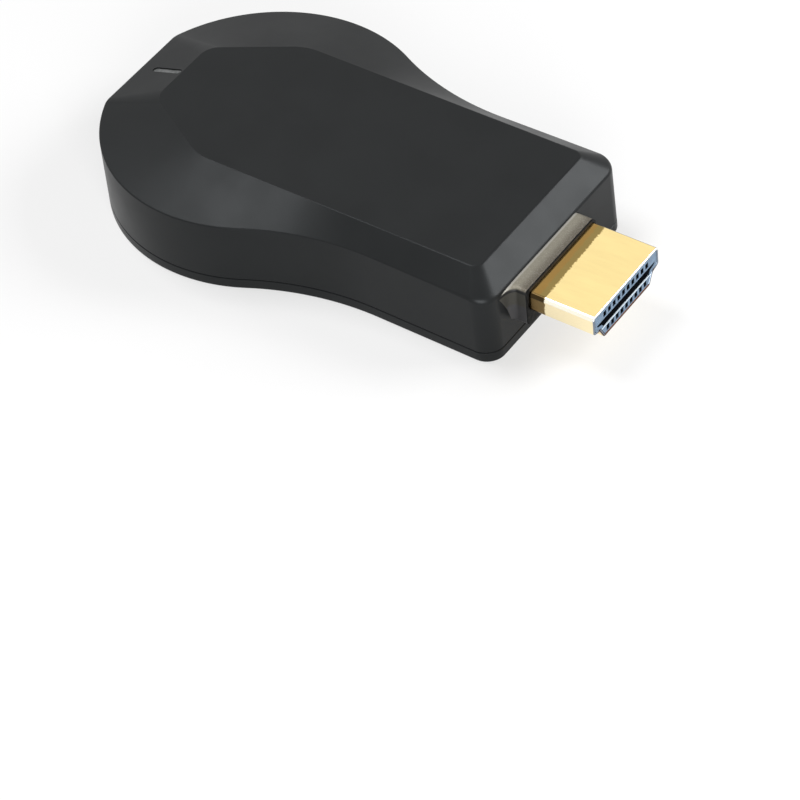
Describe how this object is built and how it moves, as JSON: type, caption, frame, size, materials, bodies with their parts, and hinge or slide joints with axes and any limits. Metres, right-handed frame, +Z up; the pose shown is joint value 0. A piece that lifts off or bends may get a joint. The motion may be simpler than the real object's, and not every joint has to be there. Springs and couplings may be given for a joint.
{
  "type": "wireless hdmi stick",
  "caption": "Flat wireless display stick with a sloped top and round tail, a display plug on its neck, a power socket in its flat end and a side button.",
  "frame": {"origin": "centre of the bounding box, on the plane of the underside", "axes": "+X along the stick towards the plug's tip, +Y to the side with the function button, +Z up out of the top plate"},
  "size_m": [0.071, 0.0396, 0.0117],
  "materials": {
    "case": "fine satin moulded plastic",
    "label": "plain matt film",
    "collar": "satin nickel plate",
    "seal": "matt",
    "gold_plate": "polished gold plate",
    "insulator": "smooth moulded",
    "contact_gold": "plated",
    "circuit_board": "solder mask",
    "zinc_steel": "zinc plated",
    "chip_black": "moulded epoxy",
    "pad": "soft silicone",
    "aluminium": "extruded",
    "can_steel": "tinned",
    "ceramic": "fired ceramic",
    "ferrite": "pressed ferrite",
    "tantalum": "moulded",
    "socket_black": "moulded",
    "plunger_white": "moulded",
    "button_black": "satin moulded plastic",
    "lamp": "clear resin",
    "light_guide": "frosted"
  },
  "bodies": {
    "housing": {"top_cover": "case", "bottom_cover": "case", "label_blank": "label", "plug_collar": "collar", "collar_seal": "seal", "plug_shell": "gold_plate", "plug_insulator": "insulator", "upper_contacts": "contact_gold", "lower_contacts": "contact_gold", "main_board": "circuit_board", "board_screws": "zinc_steel", "processor": "chip_black", "thermal_pad": "pad", "heat_sink": "aluminium", "memory_chip": "chip_black", "flash_chip": "chip_black", "clock_crystal": "can_steel", "surge_arrays": "chip_black", "ceramic_capacitors": "ceramic", "chip_resistors": "chip_black", "power_inductors": "ferrite", "regulators": "chip_black", "bulk_capacitors": "tantalum", "socket_shell": "can_steel", "socket_tongue": "socket_black", "socket_contacts": "contact_gold", "switch_body": "socket_black", "switch_cover": "can_steel", "switch_dome": "can_steel", "status_light": "lamp", "light_pipe": "light_guide"},
    "button": {"function_button": "button_black", "switch_plunger": "plunger_white"}
  },
  "joints": [
    {"name": "button_press", "type": "slide", "parent": "housing", "child": "button", "axis": [0, -1, 0], "range_m": [0, 0.00025], "stiffness_N_per_m": 500}
  ]
}
